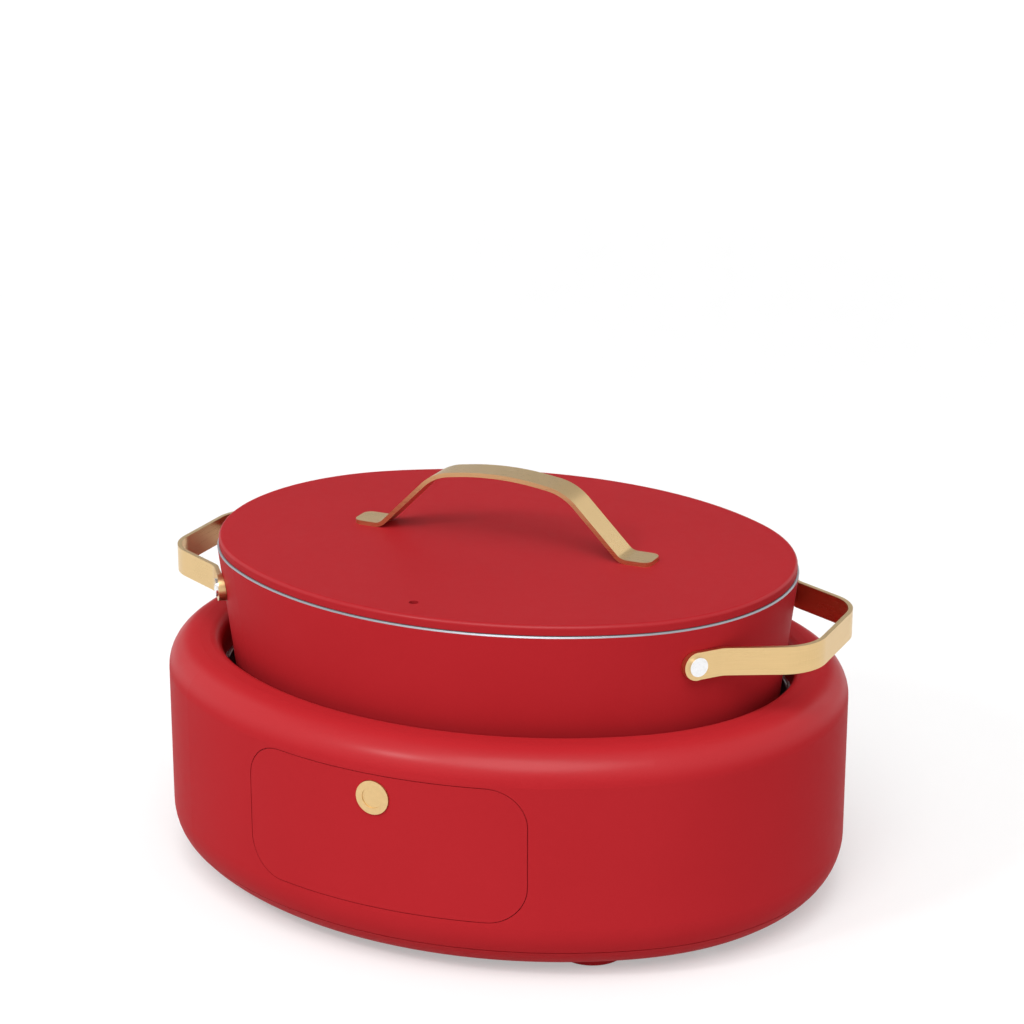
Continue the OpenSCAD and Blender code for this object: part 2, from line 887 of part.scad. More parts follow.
// Places of a board's four posts
module at_posts() {
    for (sx = [-1, 1], sz = [-1, 1])
        translate([sx * post_x, board_y, board_z + sz * post_z])
            children();
}

// Four posts from the front wall to a board, with their screw holes
module board_posts() {
    difference() {
        intersection() {
            at_posts()
                rotate([90, 0, 0])
                    cylinder(r = post_r, h = 3 * board_back);
            front_round(body_reach - shell_t + groove);
        }
        at_posts()
            rotate([90, 0, 0])
                cylinder(r = screw_r + screw_fit, h = board_back / 2);
    }
}

gland_angle = 108;
gland_z = cover_z + belly_r + 4;
gland_r = 6.8;
gland_bore_r = 3.4;
gland_flange_r = 9.5;
gland_flange_h = 1.5;
gland_tail = 5;
gland_nut_h = 4;

// Moves to the cord's hole in the back wall: z points out of the wall, from its outer face
module at_gland() {
    p = oval_at(rim, body_reach, gland_angle);
    translate([p[0], p[1], gland_z])
        rotate([0, 90, gland_angle])
            children();
}

module base_shell() color(RED)
    difference() {
        union() {
            oval_sweep(rim)
                difference() {
                    body_section(0);
                    body_section(shell_t);
                    translate([mouth_d - 10, cover_z - 10])
                        square([body_reach + 20, seam_z - cover_z + 10]);
                    translate([mouth_d - 10, cover_z - 10])
                        square([10 + shell_t + seat, skirt_z - cover_z + 10]);
                }
            for (t = boss_angles)
                translate(oval_at(rim, boss_d, t))
                    translate([0, 0, pillar_top])
                        cylinder(r = boss_r, h = base_h - shell_t / 2 - pillar_top);
            board_posts();
            mirror([0, 1, 0])
                board_posts();
        }
        intersection() {
            panel_outline(groove);
            difference() {
                front_round(body_reach + 10);
                front_round(body_reach - panel_t - seat);
            }
        }
        translate([-window_w / 2, -pot_w, board_z - window_h / 2])
            cube([window_w, pot_w / 2, window_h]);
        for (t = boss_angles)
            translate(oval_at(rim, boss_d, t))
                translate([0, 0, pillar_top - 1])
                    cylinder(r = screw_r + screw_fit, h = screw_l);
        at_gland()
            translate([0, 0, -20])
                cylinder(r = gland_r + seat, h = 40);
    }

slot_count = 7;
slot_l = 26;
slot_w = 3.2;
slot_pitch = 11;
foot_count = 6;
foot_inset = 10;
pad_r = foot_r - 3.5;
pad_h = foot_h * 0.6;
head_fit = 0.6;

// Place of a foot under the cover
function foot_spot(k) = oval_at(rim, -foot_inset, k * 360 / foot_count);

module bottom_cover() color(RED)
    difference() {
        union() {
            oval_sweep(rim)
                intersection() {
                    difference() {
                        rounded_rect(
                            [body_floor_edge, cover_z],
                            [body_reach, base_h],
                            [0, belly_r, 0, 0]
                        );
                        rounded_rect(
                            [body_floor_edge - 20, cover_z + shell_t],
                            [body_reach - shell_t, base_h],
                            [0, belly_r - shell_t, 0, 0]
                        );
                    }
                    translate([body_floor_edge, cover_z])
                        square([body_reach - body_floor_edge, seam_z - cover_z - groove]);
                }
            oval_plate(rim, body_floor_edge + 1, cover_z, shell_t);
            for (t = boss_angles)
                translate(oval_at(rim, boss_d, t))
                    translate([0, 0, pillar_top - pillar_h])
                        cylinder(r = boss_r + 2, h = pillar_h);
            for (k = [0:foot_count - 1])
                translate(foot_spot(k))
                    translate([0, 0, pad_h / 2])
                        cylinder(r = foot_r, h = foot_h - pad_h / 2 + shell_t / 2);
        }
        for (k = [0:foot_count - 1])
            translate(foot_spot(k))
                cylinder(r = pad_r, h = pad_h);
        for (t = boss_angles)
            translate(oval_at(rim, boss_d, t)) {
                cylinder(r = screw_head_r + head_fit, h = cover_z + screw_sink);
                cylinder(r = screw_r + 2 * screw_fit, h = 2 * pillar_top);
            }
        for (i = [0:slot_count - 1], side = [-1, 1])
            translate([(i - (slot_count - 1) / 2) * slot_pitch, side * slot_l, cover_z + shell_t / 2])
                cube([slot_w, slot_l, 4 * shell_t], center = true);
    }

module foot_pads() color([0.12, 0.12, 0.12])
    for (k = [0:foot_count - 1])
        translate(foot_spot(k))
            cylinder(r = pad_r - seat, h = pad_h);

module cover_screws() color(STEEL)
    for (t = boss_angles)
        translate(oval_at(rim, boss_d, t))
            translate([0, 0, cover_z + screw_sink]) {
                translate([0, 0, -screw_head_h])
                    cylinder(r = screw_head_r, h = screw_head_h);
                cylinder(r = screw_r, h = screw_l - 2);
            }

// Heated well

liner_d = mouth_d - 1.5;
flange_w = 8;
liner_open_d = -heater_inset - 4;
tab_w = 7;
tab_h = 4;
tab_angles = [25, 155, 205, 335];

liner_seam_z = liner_floor_z + liner_r;

// Upright wall of the well, with its flange under the skirt, a rolled edge and small tabs
module well_liner() color(STEEL) {
    oval_sweep(rim) {
        translate([liner_d - liner_t, liner_seam_z])
            square([liner_t, skirt_z - liner_seam_z]);
        translate([liner_d - liner_t, skirt_z - liner_t])
            square([flange_w, liner_t]);
        translate([liner_d - liner_t / 2, skirt_z])
            circle(liner_t * 0.7);
    }
    for (t = tab_angles)
        translate(oval_at(rim, liner_d - liner_t, t))
            rotate(t)
                translate([0, -tab_w / 2, skirt_z - liner_t])
                    cube([liner_t, tab_w, liner_t + tab_h]);
}

// Dished floor ring of the well, open in the middle for the heater plate
module well_floor() color(STEEL)
    oval_sweep(rim)
        intersection() {
            difference() {
                rounded_rect(
                    [liner_open_d, liner_floor_z - liner_t],
                    [liner_d, base_h],
                    [0, liner_r + liner_t, 0, 0]
                );
                rounded_rect(
                    [liner_open_d - liner_r, liner_floor_z],
                    [liner_d - liner_t, base_h + liner_t],
                    [0, liner_r, 0, 0]
                );
            }
            translate([liner_open_d, liner_floor_z - liner_t])
                square([liner_d - liner_open_d, liner_seam_z - liner_floor_z + liner_t]);
        }

plate_boss_h = 7;
heater_edge_r = 2;
boss_z = liner_floor_z - plate_boss_h;

module heater_plate() color([0.22, 0.22, 0.23]) {
    oval_sweep(rim)
        rounded_rect(
            [-heater_inset - 2 * heater_edge_r, liner_floor_z],
            [-heater_inset, heater_z],
            [0, 0, heater_edge_r, 0]
        );
    oval_plate(rim, -heater_inset - 1.5 * heater_edge_r, liner_floor_z, heater_t);
    oval_plate(rim, liner_open_d - seat, boss_z, plate_boss_h + 1);
}

tube_d = liner_open_d - 16;
pin_r = 2.2;
shield_t = 0.8;
shield_d = liner_open_d + 10;
shield_z = cover_z + shell_t + 12;
shield_flange = 6;

module heating_element() color([0.45, 0.42, 0.40]) {
    oval_sweep(rim)
        translate([tube_d, boss_z - tube_r - seat])
            circle(tube_r);
    for (side = [-1, 1])
        translate([side * 3 * pin_r, rim[1] - rim[3] - tube_d, shield_z + 3 * shield_t])
            cylinder(r = pin_r, h = boss_z - tube_r - shield_z - 3 * shield_t);
}

module heat_shield() color([0.80, 0.81, 0.82]) {
    top = liner_floor_z - liner_t;
    oval_sweep(rim) {
        translate([shield_d - shield_t, shield_z])
            square([shield_t, top - shield_z]);
        translate([shield_d - shield_t, top - shield_t])
            square([shield_flange, shield_t]);
    }
    oval_plate(rim, shield_d, shield_z, shield_t);
}

sensor_r = 6;
sensor_h = 8;

module temperature_sensor() color([0.75, 0.76, 0.78])
    translate([0, 0, boss_z - sensor_h]) {
        cylinder(r = sensor_r, h = sensor_h);
        translate([-2 * sensor_r, -sensor_r / 2, sensor_h - shield_t])
            cube([4 * sensor_r, sensor_r, shield_t]);
    }

fuse_l = 18;
fuse_r = 3;

module thermal_fuse() color([0.85, 0.82, 0.70])
    translate([5 * sensor_r, 0, boss_z]) {
        translate([0, -fuse_l / 2, -2 * fuse_r])
            rotate([-90, 0, 0])
                cylinder(r = fuse_r, h = fuse_l);
        translate([-fuse_r, -fuse_l / 4, -2 * fuse_r])
            cube([2 * fuse_r, fuse_l / 2, 2 * fuse_r]);
    }

// Front panel and electronics

badge_z = panel_z + panel_h - badge_drop;
badge_proud = 0.8;
badge_sink = 0.5;
badge_dish_r = badge_r * 0.62;

// Moves to the stud's seat on the panel: z points out of the front
module at_badge() {
    translate([0, rim[1] - rim[3] - body_reach + badge_sink, badge_z])
        rotate([90, 0, 0])
            children();
}

module control_panel() color(RED)
    difference() {
        intersection() {
            panel_outline(0);
            difference() {
                front_round(body_reach);
                front_round(body_reach - panel_t);
            }
        }
        at_badge()
            cylinder(r = badge_r + seat, h = 2 * panel_t);
    }

module panel_badge() color(BRASS)
    at_badge()
        difference() {
            cylinder(r = badge_r, h = badge_sink + badge_proud);
            translate([0, 0, badge_sink + badge_proud / 2])
                cylinder(r = badge_dish_r, h = badge_proud);
        }

// Blocks on the boards: width, depth and height
chip = [16, 2, 16];
buzzer = [10, 3, 6];
plug_block = [20, 5, 8];
relay = [18, 9, 16];
transformer = [18, 8, 22];
capacitor = [14, 7, 10];

// Bare board on the front posts
module board() {
    difference() {
        translate([-board_w / 2, board_y, board_z - board_h / 2])
            cube([board_w, board_t, board_h]);
        at_posts()
            rotate([-90, 0, 0])
                translate([0, 0, -1])
                    cylinder(r = screw_r + screw_fit, h = board_t + 2);
    }
}

// Block of the given size on the inner face of a board, by its middle
module on_board(x, z, size) {
    translate([x - size[0] / 2, board_y + board_t, board_z + z - size[2] / 2])
        cube(size);
}

module touch_board() color([0.10, 0.35, 0.20]) {
    board();
    on_board(0, 0, chip);
    on_board(-board_w / 4, board_h / 7, buzzer);
    on_board(board_w / 4, -board_h / 7, plug_block);
}

module power_board() color([0.12, 0.32, 0.18])
    mirror([0, 1, 0]) {
        board();
        on_board(-board_w / 4, 0, relay);
        on_board(0, 0, transformer);
        on_board(board_w / 4, board_h / 7, capacitor);
        on_board(board_w / 4, -board_h / 5, plug_block);
    }

module board_screws() color(STEEL)
    for (my = [0, 1])
        mirror([0, my, 0])
            at_posts()
                rotate([90, 0, 0]) {
                    translate([0, 0, -board_t - screw_head_h])
                        cylinder(r = screw_head_r, h = screw_head_h);
                    translate([0, 0, -board_t])
                        cylinder(r = screw_r, h = board_t + board_back / 2 - 1);
                }

module cord_gland() color([0.15, 0.15, 0.16])
    at_gland()
        difference() {
            union() {
                translate([0, 0, seat])
                    cylinder(r = gland_flange_r, h = gland_flange_h);
                translate([0, 0, -shell_t - gland_tail])
                    cylinder(r = gland_r, h = shell_t + gland_tail + gland_flange_h);
                translate([0, 0, -shell_t - gland_tail])
                    cylinder(r = gland_flange_r, h = gland_nut_h);
            }
            translate([0, 0, -20])
                cylinder(r = gland_bore_r, h = 40);
        }

base_shell();
bottom_cover();
foot_pads();
cover_screws();
well_liner();
well_floor();
heater_plate();
heating_element();
heat_shield();
temperature_sensor();
thermal_fuse();
control_panel();
panel_badge();
touch_board();
power_board();
board_screws();
cord_gland();
pot_body();
pot_handle_left();
pot_handle_right();
pot_rivets();
rack_plate();
leg_clips();
rack_leg_front_right();
rack_leg_front_left();
rack_leg_back_right();
rack_leg_back_left();
lid_plate();
lid_lip();
lid_handle();
lid_handle_screws();
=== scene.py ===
"""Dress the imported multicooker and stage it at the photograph's view."""

import logging
import math
from dataclasses import dataclass
from enum import Enum
from typing import Any, Optional, Union

import bpy
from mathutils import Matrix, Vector


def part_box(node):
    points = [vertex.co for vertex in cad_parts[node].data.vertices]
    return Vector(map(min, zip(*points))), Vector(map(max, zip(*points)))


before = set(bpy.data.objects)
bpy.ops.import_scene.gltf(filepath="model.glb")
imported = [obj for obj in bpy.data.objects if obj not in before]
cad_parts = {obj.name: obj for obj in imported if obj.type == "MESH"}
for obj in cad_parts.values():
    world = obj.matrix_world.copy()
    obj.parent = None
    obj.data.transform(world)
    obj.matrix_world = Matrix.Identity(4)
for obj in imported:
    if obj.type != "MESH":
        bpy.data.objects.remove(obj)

LOG = logging.getLogger("multicooker")
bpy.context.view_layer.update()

Colour = tuple[float, float, float]
Span = tuple[float, float]
Value = Union["Signal", float]

UP = Vector((0.0, 0.0, 1.0))
DOWN = Vector((0.0, 0.0, -1.0))
WHITE: Colour = (1.0, 1.0, 1.0)
MOST_OF_NOISE: Span = (0.3, 0.7)


class Signal:
    """A shader socket that takes part in Python arithmetic."""

    def __init__(self, graph: "Graph", socket: bpy.types.NodeSocket) -> None:
        """Keep the socket and the graph that it belongs to."""
        self.graph = graph
        self.socket = socket

    def _math(self, operation: str, first: Value, second: Value) -> "Signal":
        """Return the result of a Math node on two values."""
        return self.graph.node("ShaderNodeMath", {"operation": operation}, {0: first, 1: second})

    def __add__(self, other: Value) -> "Signal":
        """Return self + other."""
        return self._math("ADD", self, other)

    def __rsub__(self, other: Value) -> "Signal":
        """Return other - self."""
        return self._math("SUBTRACT", other, self)

    def __mul__(self, other: Value) -> "Signal":
        """Return self * other."""
        return self._math("MULTIPLY", self, other)

    def above(self, limit: Value) -> "Signal":
        """Return 1 where the value is above the limit, and 0 elsewhere."""
        return self._math("GREATER_THAN", self, limit)

    def below(self, limit: Value) -> "Signal":
        """Return 1 where the value is below the limit, and 0 elsewhere."""
        return self._math("LESS_THAN", self, limit)

    def most(self, other: Value) -> "Signal":
        """Return the larger of two values."""
        return self._math("MAXIMUM", self, other)

    def ramp(self, low: float, high: float, start: float = 0.0, end: float = 1.0) -> "Signal":
        """Return the value mapped from low..high to start..end, held at both ends.

        Args:
            low: Value that gives start.
            high: Value that gives end.
            start: Result at and before low.
            end: Result at and after high.

        Returns:
            The mapped value.
        """
        settings = {"interpolation_type": "SMOOTHSTEP", "clamp": True}
        inputs = {0: self, 1: low, 2: high, 3: start, 4: end}
        return self.graph.node("ShaderNodeMapRange", settings, inputs)

    def beside(self, output: Union[int, str]) -> "Signal":
        """Return another output of the node that this socket belongs to."""
        return Signal(self.graph, self.socket.node.outputs[output])


class Graph:
    """The node tree of one material or world, with one method for every kind of node."""

    def __init__(self, tree: bpy.types.NodeTree) -> None:
        """Empty the tree and keep it."""
        self.tree = tree
        tree.nodes.clear()

    def node(
        self,
        kind: str,
        settings: Optional[dict[str, Any]] = None,
        inputs: Optional[dict[Union[int, str], Any]] = None,
        output: Union[int, str] = 0,
    ) -> Signal:
        """Add a node, set it up and return one of its outputs.

        Args:
            kind: Blender's name of the node's type.
            settings: The node's own settings.
            inputs: A value or a Signal for each input, by index or name.
            output: The output to return, by index or name.

        Returns:
            The chosen output.
        """
        made = self.tree.nodes.new(kind)
        for key, value in (settings or {}).items():
            setattr(made, key, value)
        for key, value in (inputs or {}).items():
            if isinstance(value, Signal):
                self.tree.links.new(value.socket, made.inputs[key])
            elif isinstance(value, tuple) and made.inputs[key].type == "RGBA":
                made.inputs[key].default_value = (*value, 1.0)
            else:
                made.inputs[key].default_value = value
        return Signal(self, made.outputs[output])

    def place(self) -> Signal:
        """Return the position on the resting part, in metres."""
        return self.node("ShaderNodeTexCoord", output="Object")

    def facing(self) -> Signal:
        """Return the surface's normal in the part's own frame."""
        return self.node("ShaderNodeTexCoord", output="Normal")

    def split(self, vector: Signal) -> tuple[Signal, Signal, Signal]:
        """Return the three parts of a vector."""
        first = self.node("ShaderNodeSeparateXYZ", None, {0: vector})
        return first, first.beside(1), first.beside(2)

    def stretched(self, vector: Signal, scale: Colour) -> Signal:
        """Return the vector with each part multiplied."""
        return self.node("ShaderNodeVectorMath", {"operation": "MULTIPLY"}, {0: vector, 1: scale})

    def noise(self, vector: Signal, scale: float, detail: float, rough: float = 0.5) -> Signal:
        """Return soft noise from 0 to 1.

        Args:
            vector: Where the noise is taken.
            scale: Features are about 1 / scale long.
            detail: Number of finer layers.
            rough: Share of the finer layers.

        Returns:
            The noise.
        """
        inputs = {"Vector": vector, "Scale": scale, "Detail": detail, "Roughness": rough}
        return self.node("ShaderNodeTexNoise", None, inputs)

    def mix(self, share: Value, first: Union[Signal, Colour], second: Union[Signal, Colour]) -> Signal:
        """Return a mix of two colours: the first at share 0 and the second at share 1."""
        return self.node("ShaderNodeMix", {"data_type": "RGBA"}, {0: share, 6: first, 7: second}, 2)

    def bump(
        self,
        height: Signal,
        strength: float,
        distance: float,
        base: Optional[Signal] = None,
    ) -> Signal:
        """Return a normal that follows a height.

        Args:
            height: Height from 0 to 1.
            strength: How much of the effect is used.
            distance: Real height of 1, in metres.
            base: Normal that is changed further, if any.

        Returns:
            The new normal.
        """
        inputs: dict[str, Any] = {"Height": height, "Strength": strength, "Distance": distance}
        if base is not None:
            inputs["Normal"] = base
        return self.node("ShaderNodeBump", None, inputs)

    def surface(self, inputs: dict[str, Any]) -> None:
        """Finish a material with a Principled shader that has these inputs."""
        shader = self.node("ShaderNodeBsdfPrincipled", None, inputs)
        self.finish("ShaderNodeOutputMaterial", shader)

    def finish(self, kind: str, shader: Signal) -> None:
        """Link a shader to the surface of a new output node of this kind."""
        end = self.tree.nodes.new(kind)
        self.tree.links.new(shader.socket, end.inputs["Surface"])


def new_material(name: str) -> tuple[bpy.types.Material, Graph]:
    """Make an empty material.

    Args:
        name: Name of the material.

    Returns:
        The material and its graph.
    """
    material = bpy.data.materials.new(name)
    material.use_nodes = True
    return material, Graph(material.node_tree)


@dataclass(frozen=True)
class Noise:
    """A soft noise on the resting part, with features of about 1 / scale metres."""

    scale: float
    detail: float = 2.0

    def on(self, graph: Graph) -> Signal:
        """Return the noise, from 0 to 1."""
        return graph.noise(graph.place(), self.scale, self.detail)


@dataclass(frozen=True)
class Relief:
    """A shallow unevenness of a surface."""

    noise: Noise
    strength: float
    height: float

    def on(self, graph: Graph, base: Optional[Signal] = None) -> Signal:
        """Return the normal of the relief, on top of another one if there is one."""
        return graph.bump(self.noise.on(graph), self.strength, self.height, base)


class Grain(Enum):
    """The way that a brushed surface's scratches run, as a stretch of its pattern."""

    ALONG_X = (40.0, 3200.0, 3200.0)
    LEVEL = (40.0, 40.0, 3400.0)
    ALL_ROUND = (500.0, 500.0, 500.0)


@dataclass(frozen=True)
class SatinRed:
    """Satin red coating with a fine orange peel and a slightly uneven tone."""

    name: str
    tone: Colour = (0.465, 0.0205, 0.0265)
    deep: Colour = (0.445, 0.0185, 0.0240)
    roughness: float = 0.48
    sheen: float = 0.02
    # The next four fields set a clear coat laid only on upward-rolled edges, as a painted highlight
    # there.
    highlight_coat_weight: float = 0.38
    highlight_coat_roughness: float = 0.30
    highlight_coat_starts: Span = (0.12, 0.55)
    highlight_coat_ends: Span = (0.80, 0.98)
    cloud: Noise = Noise(14.0)
    fleck: Noise = Noise(1500.0)
    smear: Noise = Noise(160.0, 3.0)
    smear_seen: Span = (0.25, 0.75)
    smear_range: Span = (-0.015, 0.02)
    peel: Relief = Relief(Noise(420.0), 0.10, 0.00012)
    grit: Relief = Relief(Noise(2600.0, 1.0), 0.06, 0.00004)

    def tint(self, graph: Graph) -> Signal:
        """Return the coating's colour."""
        share = self.cloud.on(graph) * 0.5 + self.fleck.on(graph) * 0.5
        return graph.mix(share.ramp(*MOST_OF_NOISE), self.deep, self.tone)

    def gloss(self, graph: Graph) -> Signal:
        """Return the coating's roughness."""
        low, high = (self.roughness + change for change in self.smear_range)
        return self.smear.on(graph).ramp(*self.smear_seen, low, high)

    def relief(self, graph: Graph) -> Signal:
        """Return the normal of the orange peel."""
        return self.grit.on(graph, self.peel.on(graph))

    def highlight_coat(self, graph: Graph) -> Signal:
        """Return the weight of a clear coat laid only on edges rolled towards the top, which puts a
        painted highlight there.
        """
        rise = graph.split(graph.facing())[2]
        return rise.ramp(*self.highlight_coat_starts) * rise.ramp(*self.highlight_coat_ends, 1.0, 0.0) * self.highlight_coat_weight

    def make(self) -> bpy.types.Material:
        """Return the material."""
        material, graph = new_material(self.name)
        graph.surface({
            "Base Color": self.tint(graph),
            "Roughness": self.gloss(graph),
            "Normal": self.relief(graph),
            "Specular IOR Level": self.sheen,
            # The coat sits only on upward-rolled edges: a painted highlight.
            "Coat Weight": self.highlight_coat(graph),
            "Coat Roughness": self.highlight_coat_roughness,
        })
        return material


@dataclass(frozen=True)
class NonStick:
    """Dark speckled coating that lines the pot and the lid's underside."""

    dark: Colour = (0.155, 0.168, 0.184)
    light: Colour = (0.200, 0.215, 0.233)
    speck: Colour = (0.40, 0.42, 0.45)
    cloud: Noise = Noise(30.0, 4.0)
    cell_scale: float = 620.0
    cell_lot: float = 0.72
    speck_edge: Span = (0.16, 0.30)
    speck_share: float = 0.55

    def tint(self, graph: Graph) -> Signal:
        """Return the coating's colour, with fine pale specks in some of the pattern's cells."""
        ground = graph.mix(self.cloud.on(graph).ramp(*MOST_OF_NOISE), self.dark, self.light)
        inputs = {"Vector": graph.place(), "Scale": self.cell_scale}
        reach = graph.node("ShaderNodeTexVoronoi", None, inputs)
        lot = graph.split(reach.beside("Color"))[0].above(self.cell_lot)
        dot = reach.ramp(*self.speck_edge, 1.0, 0.0) * lot
        return graph.mix(dot * self.speck_share, ground, self.speck)


@dataclass(frozen=True)
class CoatedPot:
    """Red outside, speckled inside and a bare turned rim, told apart by place and facing."""

    name: str
    rim_z: float
    outside: SatinRed
    inside: NonStick = NonStick()
    inside_roughness: float = 0.36
    inward: float = -0.012
    upward: float = 0.4
    floor_below_rim: float = 0.002
    bare: Colour = (0.36, 0.38, 0.41)
    bare_height: float = 0.0007
    bare_roughness: float = 0.32
    bare_metallic: float = 0.7

    def make(self) -> bpy.types.Material:
        """Return the material."""
        material, graph = new_material(self.name)
        x, y, z = graph.split(graph.place())
        nx, ny, nz = graph.split(graph.facing())
        wall = (x * nx + y * ny).below(self.inward)
        floor = nz.above(self.upward) * z.below(self.rim_z - self.floor_below_rim)
        inner = wall.most(floor)
        rim = z.above(self.rim_z - self.bare_height)
        coat = graph.mix(inner, self.outside.tint(graph), self.inside.tint(graph))
        gloss = self.outside.gloss(graph) * (1 - inner) + inner * self.inside_roughness
        graph.surface({
            "Base Color": graph.mix(rim, coat, self.bare),
            "Roughness": gloss * (1 - rim) + rim * self.bare_roughness,
            "Metallic": rim * self.bare_metallic,
            "Normal": self.outside.relief(graph),
            "Specular IOR Level": self.outside.sheen,
        })
        return material


@dataclass(frozen=True)
class CoatedLid:
    """Red above and on the edge, with the speckled coating underneath."""

    name: str
    outside: SatinRed
    inside: NonStick = NonStick()
    downward: float = -0.6

    def make(self) -> bpy.types.Material:
        """Return the material."""
        material, graph = new_material(self.name)
        under = graph.split(graph.facing())[2].below(self.downward)
        graph.surface({
            "Base Color": graph.mix(under, self.outside.tint(graph), self.inside.tint(graph)),
            "Roughness": self.outside.gloss(graph),
            "Normal": self.outside.relief(graph),
            "Specular IOR Level": self.outside.sheen,
            # The coat sits only on upward-rolled edges: a painted highlight.
            "Coat Weight": self.outside.highlight_coat(graph),
            "Coat Roughness": self.outside.highlight_coat_roughness,
        })
        return material


@dataclass(frozen=True)
class BrushedMetal:
    """Bare metal with fine scratches along its grain."""

    name: str
    pale: Colour
    shade: Colour
    roughness: float
    grain: Grain
    depth: float = 0.12
    scratch_detail: float = 4.0
    scratch_rough: float = 0.65
    scratch_height: float = 0.00008
    bloom: Noise = Noise(25.0, 3.0)
    tone_seen: Span = (0.35, 0.8)
    gloss_range: Span = (-0.05, 0.07)

    def make(self) -> bpy.types.Material:
        """Return the material."""
        material, graph = new_material(self.name)
        along = graph.stretched(graph.place(), self.grain.value)
        lines = graph.noise(along, 1.0, self.scratch_detail, self.scratch_rough)
        bloom = self.bloom.on(graph)
        low, high = (self.roughness + change for change in self.gloss_range)
        tone = (lines * 0.7 + bloom * 0.4).ramp(*self.tone_seen)
        graph.surface({
            "Base Color": graph.mix(tone, self.shade, self.pale),
            "Metallic": 1.0,
            "Roughness": (lines * 0.6 + bloom * 0.4).ramp(*MOST_OF_NOISE, low, high),
            "Normal": graph.bump(lines, self.depth, self.scratch_height),
        })
        return material


@dataclass(frozen=True)
class CastMetal:
    """Dull cast metal with a fine sandy skin and a light wear."""

    name: str
    dark: Colour
    light: Colour
    roughness: float
    metallic: float = 0.6
    sand: Noise = Noise(1400.0, 3.0)
    sand_strength: float = 0.18
    sand_height: float = 0.00010
    wear: Noise = Noise(40.0, 4.0)
    tone_seen: Span = (0.35, 0.75)
    gloss_range: Span = (-0.06, 0.06)

    def make(self) -> bpy.types.Material:
        """Return the material."""
        material, graph = new_material(self.name)
        sand = self.sand.on(graph)
        wear = self.wear.on(graph)
        low, high = (self.roughness + change for change in self.gloss_range)
        tone = (sand * 0.5 + wear * 0.6).ramp(*self.tone_seen)
        graph.surface({
            "Base Color": graph.mix(tone, self.dark, self.light),
            "Metallic": self.metallic,
            "Roughness": wear.ramp(*MOST_OF_NOISE, low, high),
            "Normal": graph.bump(sand, self.sand_strength, self.sand_height),
        })
        return material


@dataclass(frozen=True)
class DullRubber:
    """Soft dark moulding with a matt skin."""

    name: str
    dark: Colour = (0.014, 0.014, 0.015)
    light: Colour = (0.030, 0.030, 0.032)
    gloss_range: Span = (0.58, 0.72)
    bloom: Noise = Noise(50.0, 3.0)
    skin: Relief = Relief(Noise(1800.0, 3.0), 0.15, 0.00008)

    def make(self) -> bpy.types.Material:
        """Return the material."""
        material, graph = new_material(self.name)
        bloom = self.bloom.on(graph)
        graph.surface({
            "Base Color": graph.mix(bloom.ramp(*MOST_OF_NOISE), self.dark, self.light),
            "Roughness": bloom.ramp(*MOST_OF_NOISE, *self.gloss_range),
            "Normal": self.skin.on(graph),
        })
        return material


@dataclass(frozen=True)
class BoardLacquer:
    """Green circuit board lacquer with faint straight traces."""

    name: str
    ground: Colour = (0.010, 0.085, 0.035)
    trace: Colour = (0.022, 0.135, 0.055)
    stretch: Colour = (60.0, 60.0, 60.0)
    trace_scale: float = 4.0
    trace_width: float = 0.03
    trace_strength: float = 0.2
    trace_height: float = 0.00005
    film: Noise = Noise(300.0)
    gloss_range: Span = (0.28, 0.36)

    def make(self) -> bpy.types.Material:
        """Return the material."""
        material, graph = new_material(self.name)
        inputs = {
            "Vector": graph.stretched(graph.place(), self.stretch),
            "Scale": self.trace_scale,
            "Mortar Size": self.trace_width,
        }
        traces = graph.node("ShaderNodeTexBrick", {"offset": 0.5}, inputs, "Fac")
        graph.surface({
            "Base Color": graph.mix(traces, self.ground, self.trace),
            "Roughness": self.film.on(graph).ramp(*MOST_OF_NOISE, *self.gloss_range),
            "Normal": graph.bump(traces, self.trace_strength, self.trace_height),
        })
        return material


